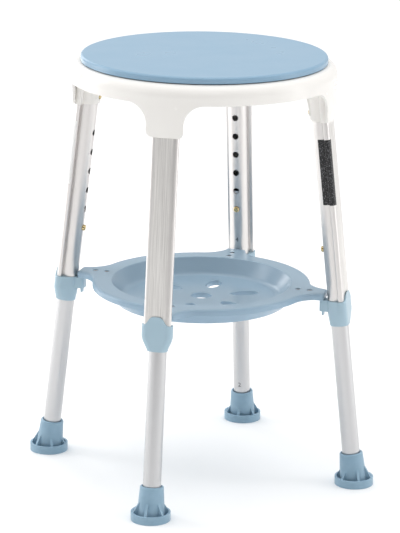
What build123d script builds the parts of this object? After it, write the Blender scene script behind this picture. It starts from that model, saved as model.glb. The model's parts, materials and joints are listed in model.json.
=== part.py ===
"""Shower stool: a swivelling seat on four telescoping legs, with a tray that hangs between them.

Millimetres, +Z up. The origin is on the floor under the middle of the seat. The legs stand at the
corners, 45 degrees off the X and Y axes, and lean in towards the top.
"""

from build123d import *

import os
from math import acos, atan, atan2, cos, degrees, radians, sin, sqrt, tan

os.makedirs("parts", exist_ok=True)

# ---------------------------------------------------------------- driving dimensions
CORNERS = {"back_right": 45, "back_left": 135, "front_left": 225, "front_right": 315}
EXTRA = 1.0  # how far a cutting tool runs past the face that it opens

# Fits and gaps
SLIDE_FIT = 0.08  # radial clearance of the telescoping tube
PIVOT_FIT = 0.06  # radial clearance of the pivot bolt in its bush
SEAT_FIT = 0.15  # clearance round a part that is pushed home and stays there
BUTTON_FIT = 0.10  # radial clearance of a snap button in its hole
RACE_FIT = 0.10  # clearance round the balls in their grooves
AXIAL_GAP = 0.10  # gap between faces that turn past each other

# Seat
SEAT_HEIGHT = 536.3
DISC_RADIUS = 152.3
DISC_EDGE = 7.7
DISC_PLATE = 3.0
DISC_ROUND = 3.4
DISC_GAP = 1.2  # between the turning disc and the fixed deck
BASE_RADIUS = 165.0
BASE_WALL = 3.0
SHOULDER_HEIGHT = 15.0
APRON_HEIGHT = 8.2
DECK_RIB_HEIGHT = 11.0
DECK_RIB_COUNT = 16
RIB_THICKNESS = 2.0

# Leg sockets under the seat
SOCKET_DROP = 39.8  # below the apron
SOCKET_WIDTH = 46.0
SOCKET_CORNER = 7.0
SOCKET_FILLET = 25.0
SOCKET_WALL = 1.6  # thinnest wall, in front of the leg
SOCKET_BOSS_WALL = 2.4
GUSSET_WIDTH = 20.0
GUSSET_REACH = 24.0
GUSSET_RISE = 6.0  # from the socket's mouth up to the gusset's foot
GUSSET_BEND = 0.35  # share of its reach and height at which the gusset's curve passes
LEG_HEADROOM = 15.0  # from the top of the leg to the top of the deck

# Swivel
BALL_RADIUS = 4.0
BALL_COUNT = 20
BALL_CIRCLE = 65.0
RACE_WIDTH = 18.0
RACE_THICKNESS = 3.5
GROOVE_DEPTH = 1.6
RACE_RIB = 2.5  # ring under the disc that the upper race sits on
CAGE_WIDTH = 13.0
CAGE_THICKNESS = 2.0
BOLT_RADIUS = 5.0
BOLT_HEAD_RADIUS = 9.2
BOLT_HEAD = 5.5
BOSS_WALL = 5.0
BUSH_WALL = 3.0
BUSH_FLANGE = 1.0
BUSH_LENGTH = 15.0
WASHER_WALL = 7.0
WASHER_THICKNESS = 1.5

# Telescoping legs
LEAN = 6.5  # degrees from upright
TUBE_RADIUS = 11.0
TUBE_WALL = 1.2
LEG_WALL = 1.25
LEG_FRONT_WALL = 1.2
LEG_WIDTH = 34.4
PLATE_DEPTH = 7.6  # the broad front of the upper leg, front to back
PLATE_ROUND = 5.0
PLATE_BACK_ROUND = 1.2
FRONT_CURVE = 90.0
LOCK_PITCH = 25.0
LOCK_COUNT = 6
LOCK_HOLE_RADIUS = 4.1
LOCK_ABOVE_COLLAR = 64.5
TUBE_ABOVE_BUTTON = 24.6
BUTTON_RADIUS = 3.8
BUTTON_PROUD = 3.0
BUTTON_FLANGE = 1.0
BUTTON_FLANGE_LIP = 0.9
BUTTON_ROUND = 1.8
SPRING_STRIP = 0.6
SPRING_WIDTH = 6.0
SPRING_LENGTH = 17.0
SOCKET_BUTTON_RISE = 9.8  # above the mouth of the socket
SOCKET_BUTTON_PROUD = 1.2

# Tray
TRAY_TOP = 247.0
TRAY_RADIUS = 137.0
TRAY_EDGE = 8.0
TRAY_PLATE = 2.6
TRAY_WALL = 2.4
DISH_OPENING = 113.0
DISH_FLOOR_RADIUS = 97.5
DISH_DEPTH = 20.0
DISH_FLOOR = 3.0
BOWL_RADIUS = 122.0
BOWL_FOOT_RADIUS = 108.0
BOWL_FOOT = 2.0
DRAIN_RADIUS = 12.5
DRAIN_LIP = 3.6  # how far the wall round a drain hole hangs below the floor
DRAIN_LIP_WALL = 1.8
DRAIN_ROUND = 1.3
PETAL_COUNT = 6
PETAL_LENGTH = 36.0
PETAL_WIDTH = 17.0
PETAL_CIRCLE = 56.0
ARM_TIP = 161.5
ARM_WIDTH = 25.0
ARM_BLEND = 35.0
ARM_END = 9.0  # solid end of the arm, over the loop
ARM_TIP_ROUND = 5.0
TRAY_ROUND = 3.2
TRAY_EDGE_ROUND = 0.9

# Hooks and loops
HOOK_PLATE = 3.0
HOOK_WIDTH = 17.0
HOOK_SHOULDER = 9.9  # from the tray's top down to the loop
PRONG_DEPTH = 3.0
PRONG_WIDTH = 10.0
PRONG_LENGTH = 20.0
PRONG_TAPER = 1.1
PRONG_INSET = 1.4  # from the arm's tip
LOOP_FIT = 0.35
LOOP_WALL = 2.0
LOOP_HEIGHT = 14.0
LOOP_ROUND = 3.0
LOOP_BELOW_COLLAR = 1.7  # from the collar's rim down to the loop
SCREW_RADII = (125.5, 140.5)  # distances of the two screws of an arm from the middle
SCREW_HEAD_RADIUS = 3.3
SCREW_HEAD = 1.2
SCREW_RADIUS = 1.4
SCREW_LENGTH = 5.0
SCREW_RECESS = 1.5

# Collars
COLLAR_BELOW_LEG = 20.0
COLLAR_ABOVE_LEG = 12.3
COLLAR_WALL = 1.25
COLLAR_ROUND = 8.0
COLLAR_BULGE = 1.6  # how much wider it is than its wall needs
COLLAR_SIDE = 2.6  # straight length beside a front corner
COLLAR_SIDE_ROUND = 6.0
COLLAR_SWELL = 1.3  # power of the curve from the tube out to the barrel
COLLAR_NECK_WALL = 1.1
TONGUE_HEIGHT = 10.4
TONGUE_TOP = 5.0

# Feet
FOOT_RADIUS = 24.25
FOOT_FLANGE = 2.6
FOOT_RIM_HEIGHT = 10.0
FOOT_RIM_WALL = 2.6
FOOT_BASE_RADIUS = 17.5
FOOT_TOP_RADIUS = 14.6
FOOT_HEIGHT = 41.3
FOOT_MOUTH = 1.2
FOOT_TOP_ROUND = 1.8
FOOT_SOLE = 6.0
FOOT_RIB_COUNT = 6
FOOT_RIB_FOOT = 8.5  # height of a rib at the rim
FOOT_RIB_HEIGHT = 24.0  # height at which its slope meets the cone
FOOT_RIB_THICKNESS = 3.0
TREAD_RINGS = 3
TREAD_WIDTH = 1.6
TREAD_PITCH = 4.6
TREAD_FIRST = 8.5
TREAD_DEPTH = 1.0
FOOT_WASHER = 1.2

# Labels
LABEL_THICKNESS = 0.2
LABEL_LENGTH = 82.0
LABEL_FOOT = 58.0  # from the lowest lock hole up to the label
LABEL_WRAP = 6.5  # how far a label goes round onto the leg's front
BLACK_LABEL_BACK = -4.7  # where it starts, from the leg's axis towards the front
WHITE_LABEL_BACK = 6.0

# ---------------------------------------------------------------- heights and radii that follow
DISC_UNDER = SEAT_HEIGHT - DISC_PLATE
DECK_TOP = SEAT_HEIGHT - DISC_EDGE - DISC_GAP
DECK_UNDER = DECK_TOP - BASE_WALL
SHOULDER_FOOT = DECK_TOP - SHOULDER_HEIGHT
APRON_FOOT = SHOULDER_FOOT - APRON_HEIGHT
SOCKET_MOUTH = APRON_FOOT - SOCKET_DROP
SHOULDER_INNER = DISC_RADIUS - DISC_GAP / 2

RACE_INNER = BALL_CIRCLE - RACE_WIDTH / 2
RACE_OUTER = BALL_CIRCLE + RACE_WIDTH / 2
UPPER_RACE_TOP = DISC_UNDER - RACE_RIB
UPPER_RACE_FOOT = UPPER_RACE_TOP - RACE_THICKNESS
BALL_HEIGHT = UPPER_RACE_FOOT + GROOVE_DEPTH - BALL_RADIUS
LOWER_RACE_TOP = BALL_HEIGHT - BALL_RADIUS + GROOVE_DEPTH
LOWER_RACE_FOOT = LOWER_RACE_TOP - RACE_THICKNESS

BUSH_BORE = BOLT_RADIUS + PIVOT_FIT
BUSH_RADIUS = BUSH_BORE + BUSH_WALL
BUSH_FOOT = DECK_TOP - BUSH_LENGTH
HUB_FOOT = DECK_TOP + BUSH_FLANGE + AXIAL_GAP
HUB_RADIUS = BUSH_RADIUS + BUSH_WALL
WASHER_TOP = BUSH_FOOT - AXIAL_GAP
BOLT_HEAD_TOP = WASHER_TOP - WASHER_THICKNESS

LEG_BORE = TUBE_RADIUS + SLIDE_FIT
LEG_BACK = LEG_BORE + LEG_WALL  # radius of the round back
LEG_FRONT = LEG_BORE + LEG_FRONT_WALL  # from the leg's axis to its broad front
TUBE_BORE = TUBE_RADIUS - TUBE_WALL

SLOPE = tan(radians(LEAN))
STRETCH = 1 / cos(radians(LEAN))  # length along the leg for each millimetre of height
LEG_TOP_RADIUS = BASE_RADIUS - SOCKET_WALL - SEAT_FIT - LEG_FRONT * STRETCH
FLOOR_RADIUS = LEG_TOP_RADIUS + SLOPE * SOCKET_MOUTH  # where a leg's axis meets the floor

LOOP_TOP = TRAY_TOP - HOOK_SHOULDER
COLLAR_SIDE_TOP = (LOOP_TOP + LOOP_BELOW_COLLAR) * STRETCH  # along the leg, as are the next ones
UPPER_LEG_FOOT = COLLAR_SIDE_TOP - COLLAR_ABOVE_LEG
COLLAR_FOOT = UPPER_LEG_FOOT - COLLAR_BELOW_LEG
UPPER_LEG_TOP = (DECK_TOP - LEG_HEADROOM) * STRETCH
LOCK_LOWEST = COLLAR_SIDE_TOP + LOCK_ABOVE_COLLAR
TUBE_TOP = LOCK_LOWEST + TUBE_ABOVE_BUTTON
TUBE_FOOT = FOOT_SOLE + FOOT_WASHER
SOCKET_BUTTON = (SOCKET_MOUTH + SOCKET_BUTTON_RISE) * STRETCH
BOSS_BACK = LEG_BACK + SEAT_FIT + SOCKET_BOSS_WALL

TRAY_UNDER = TRAY_TOP - TRAY_PLATE
TRAY_EDGE_FOOT = TRAY_TOP - TRAY_EDGE
DISH_FLOOR_TOP = TRAY_TOP - DISH_DEPTH
DISH_FLOOR_UNDER = DISH_FLOOR_TOP - DISH_FLOOR
PRONG_OUTER = ARM_TIP - PRONG_INSET
PRONG_MIDDLE = PRONG_OUTER - PRONG_DEPTH / 2
ARM_HOLLOW_END = ARM_TIP - ARM_END

print(f"legs meet the floor {FLOOR_RADIUS:.1f} mm from the middle")


# ---------------------------------------------------------------- planes
def outward(angle):
    """Horizontal unit vector from the middle towards a corner."""
    return Vector(cos(radians(angle)), sin(radians(angle)), 0)


def leg_plane(angle, along=0.0):
    """Plane across a leg, at a distance along its axis from the floor: X outwards, Z up the leg."""
    out = outward(angle)
    up = out * -sin(radians(LEAN)) + Vector(0, 0, cos(radians(LEAN)))
    front = out * cos(radians(LEAN)) + Vector(0, 0, sin(radians(LEAN)))
    return Plane(origin=out * FLOOR_RADIUS + up * along, x_dir=front, z_dir=up)


def button_plane(angle, along):
    """Plane on a leg's axis whose Z points at the middle of the stool, across the leg."""
    across = leg_plane(angle, along)
    return Plane(origin=across.origin, x_dir=across.y_dir, z_dir=across.x_dir * -1)


def spring_plane(angle, along):
    """Plane that holds a leg's axis: X towards the middle of the stool, Y up the leg."""
    across = leg_plane(angle, along)
    inward = across.x_dir * -1
    return Plane(origin=across.origin, x_dir=inward, z_dir=inward.cross(across.z_dir))


def radial_plane(angle):
    """Upright plane through the middle and a corner: X outwards, Y up."""
    out = outward(angle)
    return Plane(origin=(0, 0, 0), x_dir=out, z_dir=out.cross(Vector(0, 0, 1)))


def facing_plane(angle, radius):
    """Upright plane that faces a corner from a distance: X sideways, Y up."""
    out = outward(angle)
    return Plane(origin=out * radius, x_dir=Vector(0, 0, 1).cross(out), z_dir=out)


def flat_plane(angle, radius, height):
    """Level plane on a corner's line: X outwards."""
    out = outward(angle)
    return Plane(origin=out * radius + Vector(0, 0, height), x_dir=out, z_dir=(0, 0, 1))


def finish(part, name):
    """Label a piece and write its file."""
    part.label = name
    export_step(part, f"parts/{name}.step")
    return part


# ---------------------------------------------------------------- outlines
def leg_outline():
    """Section of the upper leg: a round back and a broad, slightly curved front plate."""
    half = LEG_WIDTH / 2
    edge = LEG_FRONT - (FRONT_CURVE - sqrt(FRONT_CURVE**2 - half**2))
    back = LEG_FRONT - PLATE_DEPTH
    with BuildSketch(mode=Mode.PRIVATE) as plate:
        with BuildLine():
            ThreePointArc((edge, -half), (LEG_FRONT, 0), (edge, half))
            Polyline((edge, half), (back, half), (back, -half), (edge, -half))
        make_face()
        fillet(plate.vertices().group_by(Axis.X)[-1], radius=PLATE_ROUND)
        fillet(plate.vertices().group_by(Axis.X)[0], radius=PLATE_BACK_ROUND)
    add(plate.sketch)
    Circle(LEG_BACK)


def shoulder_arc(wall):
    """Rounded shoulder of the seat's base, outside (wall 0) or inside, as distance and height."""
    EllipticalCenterArc((SHOULDER_INNER, SHOULDER_FOOT), BASE_RADIUS - SHOULDER_INNER - wall,
                        SHOULDER_HEIGHT - wall, arc_size=90)


# ---------------------------------------------------------------- seat
def build_seat_disc():
    """The turning seat: a plate with a rolled edge, stiffening ribs and a hub for the pivot bolt."""
    with BuildPart() as disc:
        with BuildSketch(Plane.XY.offset(SEAT_HEIGHT - DISC_EDGE)):
            Circle(DISC_RADIUS)
        extrude(amount=DISC_EDGE)
        fillet(disc.faces().sort_by(Axis.Z)[-1].edges(), radius=DISC_ROUND)
        with BuildSketch(Plane.XY.offset(SEAT_HEIGHT - DISC_EDGE)):
            Circle(DISC_RADIUS - DISC_PLATE)
        extrude(amount=DISC_EDGE - DISC_PLATE, mode=Mode.SUBTRACT)
        rib_inner = RACE_OUTER - RIB_THICKNESS / 2
        rib_outer = DISC_RADIUS - DISC_PLATE / 2
        with BuildSketch(Plane.XY.offset(DISC_UNDER - RACE_RIB)):
            with PolarLocations((rib_inner + rib_outer) / 2, DECK_RIB_COUNT):
                Rectangle(rib_outer - rib_inner, RIB_THICKNESS)
            Circle(RACE_OUTER)
            Circle(RACE_INNER, mode=Mode.SUBTRACT)
        extrude(amount=RACE_RIB)
        with BuildSketch(Plane.XY.offset(HUB_FOOT)):
            Circle(HUB_RADIUS)
        extrude(amount=DISC_UNDER - HUB_FOOT)
        with BuildSketch(Plane.XY.offset(HUB_FOOT)):
            Circle(BOLT_RADIUS)
        extrude(amount=DISC_UNDER - HUB_FOOT, mode=Mode.SUBTRACT)
    return finish(disc.part, "seat_disc")


def build_socket_core(angle):
    """Inside of one leg socket: a boss round the leg, and a gusset that ties it to the deck."""
    mouth = SOCKET_MOUTH
    start = mouth * STRETCH - BOSS_BACK
    root = DECK_UNDER + BASE_WALL / 2
    back = LEG_TOP_RADIUS - BOSS_BACK * STRETCH
    inside = back + SOCKET_BOSS_WALL / 2
    foot = mouth + GUSSET_RISE
    bend = (back - GUSSET_BEND * GUSSET_REACH, root - GUSSET_BEND * (root - mouth))
    with BuildPart() as core:
        with BuildSketch(leg_plane(angle, start)):
            leg_outline()
            offset(amount=SEAT_FIT + SOCKET_BOSS_WALL)
        extrude(amount=DECK_TOP * STRETCH - start)
        with BuildSketch(radial_plane(angle)):
            with BuildLine():
                ThreePointArc((inside, foot), bend, (back - GUSSET_REACH, root))
                Polyline((back - GUSSET_REACH, root), (LEG_TOP_RADIUS - LEG_BACK, root),
                         (LEG_TOP_RADIUS - LEG_BACK, foot), (inside, foot))
            make_face()
        extrude(amount=GUSSET_WIDTH / 2, both=True)
        with BuildSketch(Plane.XZ):
            with BuildLine():
                Polyline((0, root), (SHOULDER_INNER, root))
                shoulder_arc(BASE_WALL / 2)
                Polyline((BASE_RADIUS - BASE_WALL / 2, SHOULDER_FOOT), (BASE_RADIUS - BASE_WALL / 2, mouth),
                         (0, mouth), (0, root))
            make_face()
        revolve(axis=Axis.Z, mode=Mode.INTERSECT)
    return core.part


def build_seat_base():
    """The fixed white shell under the disc, with ribs, the bearing channel and four leg sockets."""
    channel_wall = RACE_OUTER + SEAT_FIT + BASE_WALL
    channel_inner_wall = RACE_INNER - SEAT_FIT - BASE_WALL
    channel_under = LOWER_RACE_FOOT - BASE_WALL
    boss_radius = BUSH_RADIUS + SEAT_FIT + BOSS_WALL
    half = SOCKET_WIDTH / 2
    midway = BASE_RADIUS * sin(radians(180 / len(CORNERS)))  # halfway to the next socket
    wall_inner = BASE_RADIUS - BASE_WALL
    with BuildPart() as base:
        with BuildSketch(Plane.XZ):
            with BuildLine():
                Polyline((0, DECK_TOP), (SHOULDER_INNER, DECK_TOP))
                shoulder_arc(0)
                Polyline((BASE_RADIUS, SHOULDER_FOOT), (BASE_RADIUS, SOCKET_MOUTH),
                         (wall_inner, SOCKET_MOUTH), (wall_inner, SHOULDER_FOOT))
                shoulder_arc(BASE_WALL)
                Polyline((SHOULDER_INNER, DECK_UNDER), (0, DECK_UNDER), (0, DECK_TOP))
            make_face()
        revolve(axis=Axis.Z)
        # the wall between the sockets stops at the apron, which runs into each socket in a curve
        for angle in CORNERS.values():
            with BuildSketch(facing_plane(angle, midway - BASE_WALL)):
                for side in (-1, 1):
                    with BuildLine():
                        spring_line = APRON_FOOT - SOCKET_FILLET
                        RadiusArc((side * half, spring_line), (side * (half + SOCKET_FILLET), APRON_FOOT),
                                  side * SOCKET_FILLET)
                        Polyline((side * (half + SOCKET_FILLET), APRON_FOOT),
                                 (side * (midway + BASE_WALL), APRON_FOOT),
                                 (side * (midway + BASE_WALL), SOCKET_MOUTH - EXTRA),
                                 (side * (half - SOCKET_CORNER), SOCKET_MOUTH - EXTRA),
                                 (side * (half - SOCKET_CORNER), SOCKET_MOUTH))
                        RadiusArc((side * (half - SOCKET_CORNER), SOCKET_MOUTH),
                                  (side * half, SOCKET_MOUTH + SOCKET_CORNER), -side * SOCKET_CORNER)
                        Line((side * half, SOCKET_MOUTH + SOCKET_CORNER), (side * half, spring_line))
                    make_face()
            extrude(amount=BASE_RADIUS, mode=Mode.SUBTRACT)
        with BuildSketch(Plane.XY.offset(DECK_UNDER - DECK_RIB_HEIGHT)):
            with PolarLocations((SHOULDER_INNER + boss_radius) / 2, DECK_RIB_COUNT,
                                start_angle=180 / DECK_RIB_COUNT):
                Rectangle(SHOULDER_INNER - boss_radius + BASE_WALL, RIB_THICKNESS)
        extrude(amount=DECK_RIB_HEIGHT + BASE_WALL / 2)
        with BuildSketch(Plane.XY.offset(channel_under)):
            Circle(channel_wall)
            Circle(channel_inner_wall, mode=Mode.SUBTRACT)
        extrude(amount=DECK_TOP - BASE_WALL / 2 - channel_under)
        with BuildSketch(Plane.XY.offset(BUSH_FOOT)):
            Circle(boss_radius)
        extrude(amount=DECK_TOP - BASE_WALL / 2 - BUSH_FOOT)
        for angle in CORNERS.values():
            add(build_socket_core(angle))
        with BuildSketch(Plane.XY.offset(LOWER_RACE_FOOT)):
            Circle(RACE_OUTER + SEAT_FIT)
            Circle(RACE_INNER - SEAT_FIT, mode=Mode.SUBTRACT)
        extrude(amount=DECK_TOP - LOWER_RACE_FOOT, mode=Mode.SUBTRACT)
        with BuildSketch(Plane.XY.offset(BUSH_FOOT)):
            Circle(BUSH_RADIUS + SEAT_FIT)
        extrude(amount=DECK_TOP - BUSH_FOOT, mode=Mode.SUBTRACT)
        for angle in CORNERS.values():
            start = SOCKET_MOUTH * STRETCH - LEG_WIDTH
            with BuildSketch(leg_plane(angle, start)):
                leg_outline()
                offset(amount=SEAT_FIT)
            extrude(amount=UPPER_LEG_TOP - start, mode=Mode.SUBTRACT)
            with BuildSketch(button_plane(angle, SOCKET_BUTTON)):
                Circle(LOCK_HOLE_RADIUS)
            extrude(amount=BOSS_BACK + GUSSET_REACH, mode=Mode.SUBTRACT)
    return finish(base.part, "seat_base")


# ---------------------------------------------------------------- swivel
def build_race(foot, top, name):
    """One ring of the thrust bearing, with a groove for the balls."""
    with BuildPart() as race:
        with BuildSketch(Plane.XY.offset(foot)):
            Circle(RACE_OUTER)
            Circle(RACE_INNER, mode=Mode.SUBTRACT)
        extrude(amount=top - foot)
        with BuildSketch(Plane.XZ):
            with Locations((BALL_CIRCLE, BALL_HEIGHT)):
                Circle(BALL_RADIUS + RACE_FIT)
        revolve(axis=Axis.Z, mode=Mode.SUBTRACT)
    return finish(race.part, name)


def build_ball_cage():
    """The flat ring that keeps the balls apart."""
    with BuildPart() as cage:
        with BuildSketch(Plane.XY.offset(BALL_HEIGHT - CAGE_THICKNESS / 2)):
            Circle(BALL_CIRCLE + CAGE_WIDTH / 2)
            Circle(BALL_CIRCLE - CAGE_WIDTH / 2, mode=Mode.SUBTRACT)
            with PolarLocations(BALL_CIRCLE, BALL_COUNT):
                Circle(BALL_RADIUS + RACE_FIT, mode=Mode.SUBTRACT)
        extrude(amount=CAGE_THICKNESS)
    return finish(cage.part, "ball_cage")


def build_balls():
    """The balls of the thrust bearing, as one group."""
    with BuildPart() as balls:
        with Locations(Plane.XY.offset(BALL_HEIGHT)):
            with PolarLocations(BALL_CIRCLE, BALL_COUNT):
                Sphere(BALL_RADIUS)
    return finish(balls.part, "bearing_balls")


def build_pivot():
    """The bolt that holds the disc down, its washer and the flanged bush that it turns in."""
    with BuildPart() as bolt:
        with BuildSketch(Plane.XY.offset(BOLT_HEAD_TOP - BOLT_HEAD)):
            RegularPolygon(BOLT_HEAD_RADIUS, side_count=6)
        extrude(amount=BOLT_HEAD)
        chamfer(bolt.faces().sort_by(Axis.Z)[0].edges(), length=BOLT_HEAD / 8)
        with BuildSketch(Plane.XY.offset(BOLT_HEAD_TOP)):
            Circle(BOLT_RADIUS)
        extrude(amount=HUB_FOOT - BOLT_HEAD_TOP)
        with BuildSketch(Plane.XY.offset(HUB_FOOT)):
            Circle(BOLT_RADIUS - PIVOT_FIT)
        extrude(amount=DISC_UNDER - HUB_FOOT - AXIAL_GAP)
    with BuildPart() as washer:
        with BuildSketch(Plane.XY.offset(BOLT_HEAD_TOP)):
            Circle(BOLT_RADIUS + WASHER_WALL)
            Circle(BOLT_RADIUS + SEAT_FIT, mode=Mode.SUBTRACT)
        extrude(amount=WASHER_THICKNESS)
    with BuildPart() as bush:
        with BuildSketch(Plane.XY.offset(BUSH_FOOT)):
            Circle(BUSH_RADIUS)
        extrude(amount=BUSH_LENGTH)
        with BuildSketch(Plane.XY.offset(DECK_TOP)):
            Circle(BUSH_RADIUS + BUSH_WALL)
        extrude(amount=BUSH_FLANGE)
        with BuildSketch(Plane.XY.offset(BUSH_FOOT)):
            Circle(BUSH_BORE)
        extrude(amount=BUSH_LENGTH + BUSH_FLANGE, mode=Mode.SUBTRACT)
    finish(bolt.part, "pivot_bolt")
    finish(washer.part, "pivot_washer")
    finish(bush.part, "pivot_bush")


# ---------------------------------------------------------------- legs
def build_upper_leg(corner, angle):
    """The outer extrusion, bored for the telescoping tube, with its column of lock holes."""
    with BuildPart() as leg:
        with BuildSketch(leg_plane(angle, UPPER_LEG_FOOT)):
            leg_outline()
            Circle(LEG_BORE, mode=Mode.SUBTRACT)
        extrude(amount=UPPER_LEG_TOP - UPPER_LEG_FOOT)
        for number in range(LOCK_COUNT):
            with BuildSketch(button_plane(angle, LOCK_LOWEST + number * LOCK_PITCH)):
                Circle(LOCK_HOLE_RADIUS)
            extrude(amount=LEG_BACK + EXTRA, mode=Mode.SUBTRACT)
        with BuildSketch(button_plane(angle, SOCKET_BUTTON)):
            Circle(BUTTON_RADIUS + BUTTON_FIT)
        extrude(amount=LEG_BACK + EXTRA, mode=Mode.SUBTRACT)
    return finish(leg.part, f"{corner}_upper_leg")


def build_lower_leg(corner, angle):
    """The round tube that slides in the upper leg, with a hole for its snap button."""
    with BuildPart() as tube:
        with BuildSketch(leg_plane(angle, TUBE_FOOT)):
            Circle(TUBE_RADIUS)
            Circle(TUBE_BORE, mode=Mode.SUBTRACT)
        extrude(amount=TUBE_TOP - TUBE_FOOT)
        with BuildSketch(button_plane(angle, LOCK_LOWEST)):
            Circle(BUTTON_RADIUS + BUTTON_FIT)
        extrude(amount=TUBE_RADIUS + EXTRA, mode=Mode.SUBTRACT)
    return finish(tube.part, f"{corner}_lower_leg")


def flange_face(bore):
    """Distance from the leg's axis to a button's flange, where its lip just clears the round bore."""
    lip = BUTTON_RADIUS + BUTTON_FLANGE_LIP
    return sqrt(bore**2 - lip**2) - SEAT_FIT


def build_button(name, angle, along, bore, tip):
    """A snap button: a domed pin with a flange that stops against the inside of its tube."""
    face = flange_face(bore)
    with BuildPart() as button:
        with BuildSketch(button_plane(angle, along).offset(face)):
            Circle(BUTTON_RADIUS)
        extrude(amount=tip - face)
        dome = button.faces().sort_by(Axis(button_plane(angle, along).origin,
                                           button_plane(angle, along).z_dir))[-1]
        fillet(dome.edges(), radius=min(BUTTON_ROUND, 0.6 * (tip - face)))
        with BuildSketch(button_plane(angle, along).offset(face - BUTTON_FLANGE)):
            Circle(BUTTON_RADIUS + BUTTON_FLANGE_LIP)
        extrude(amount=BUTTON_FLANGE)
    return finish(button.part, name)


def build_spring(name, angle, along, bore):
    """The leaf spring behind a snap button: a strip bent into a V, with its apex down the tube."""
    front = flange_face(bore) - BUTTON_FLANGE - SPRING_STRIP / 2
    back = -sqrt(bore**2 - (SPRING_WIDTH / 2) ** 2) + SPRING_STRIP / 2 + SEAT_FIT
    top = BUTTON_RADIUS
    apex = -SPRING_LENGTH
    turn = 2.5
    with BuildPart() as spring:
        with BuildSketch(spring_plane(angle, along)):
            with BuildLine() as strip:
                FilletPolyline((front, top), (front, -top), (0, apex), (back, -top), (back, top),
                               radius=turn)
            trace(lines=strip.line, line_width=SPRING_STRIP)
        extrude(amount=SPRING_WIDTH / 2, both=True)
    return finish(spring.part, name)


def collar_outline(front, half, back, corner):
    """Section of a collar: a front with rounded corners, hulled onto the circle of the back."""
    shoulder = front - corner - COLLAR_SIDE * corner / COLLAR_ROUND
    reach = sqrt(shoulder**2 + half**2)
    turn = atan2(half, shoulder) + acos(back / reach)
    meet = (back * cos(turn), back * sin(turn))
    mid = corner * sin(radians(45))
    with BuildSketch(mode=Mode.PRIVATE) as outline:
        with BuildLine():
            ThreePointArc((front - corner, -half), (front - corner + mid, corner - half - mid),
                          (front, corner - half))
            Line((front, corner - half), (front, half - corner))
            ThreePointArc((front, half - corner), (front - corner + mid, half - corner + mid),
                          (front - corner, half))
            Polyline((front - corner, half), (shoulder, half), meet)
            ThreePointArc(meet, (-back, 0), (meet[0], -meet[1]))
            Polyline((meet[0], -meet[1]), (shoulder, -half), (front - corner, -half))
        make_face()
        shoulders = [v for v in outline.vertices() if abs(v.X - shoulder) < 0.01]
        fillet(shoulders, radius=COLLAR_SIDE_ROUND)
    add(outline.sketch)


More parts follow.
